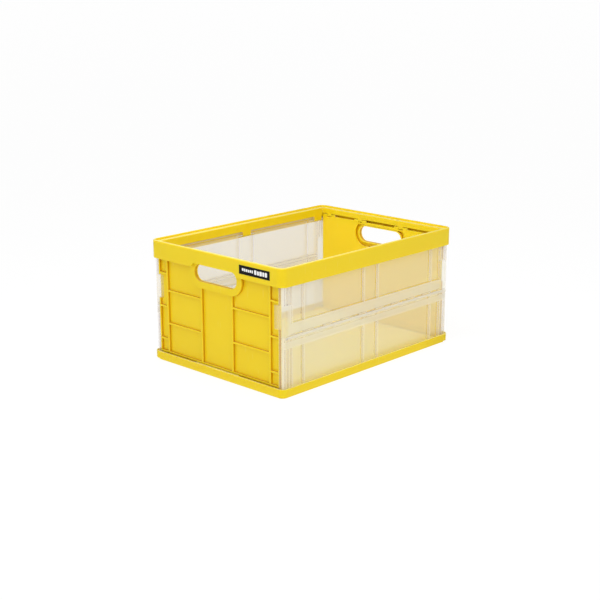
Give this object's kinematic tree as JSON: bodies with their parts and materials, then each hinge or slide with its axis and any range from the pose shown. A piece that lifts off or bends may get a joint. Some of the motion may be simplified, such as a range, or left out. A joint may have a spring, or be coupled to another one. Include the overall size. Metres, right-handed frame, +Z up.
{
  "type": "folding stacking crate",
  "caption": "Folding stacking crate with a yellow base and top frame, swing-up yellow end panels with hand holes, and clear long walls hinged at mid height.",
  "frame": {"origin": "on the ground at the middle of the base", "axes": "+Z up, Y along the crate with the labelled front end at -Y, X across"},
  "size_m": [0.384, 0.53, 0.26],
  "materials": {
    "yellow_plastic": "satin moulded polypropylene",
    "clear_plastic": "clear, slightly milky moulded polypropylene",
    "natural_plastic": "natural moulded plastic rod",
    "black_label": "matte plate"
  },
  "bodies": {
    "crate": {"base_tray": "yellow_plastic", "top_frame": "yellow_plastic", "side_right_upper": "clear_plastic", "side_right_lower": "clear_plastic", "side_left_upper": "clear_plastic", "side_left_lower": "clear_plastic", "end_hinge_pins_front": "natural_plastic", "end_hinge_pins_rear": "natural_plastic", "wall_pins_right_upper": "natural_plastic", "wall_pins_left_upper": "natural_plastic", "wall_pins_right_lower": "natural_plastic", "wall_pins_left_lower": "natural_plastic", "mid_hinge_rod_right": "natural_plastic", "mid_hinge_rod_left": "natural_plastic", "label_plate": "black_label"},
    "front_end": {"end_panel_front": "yellow_plastic"},
    "rear_end": {"end_panel_rear": "yellow_plastic"}
  },
  "joints": [
    {"name": "front_end_hinge", "type": "hinge", "parent": "crate", "child": "front_end", "pos_m": [0, -0.2532, 0.2395], "axis": [1, 0, 0], "range_deg": [0, 90]},
    {"name": "rear_end_hinge", "type": "hinge", "parent": "crate", "child": "rear_end", "pos_m": [0, 0.2532, 0.2395], "axis": [-1, 0, 0], "range_deg": [0, 90]}
  ]
}
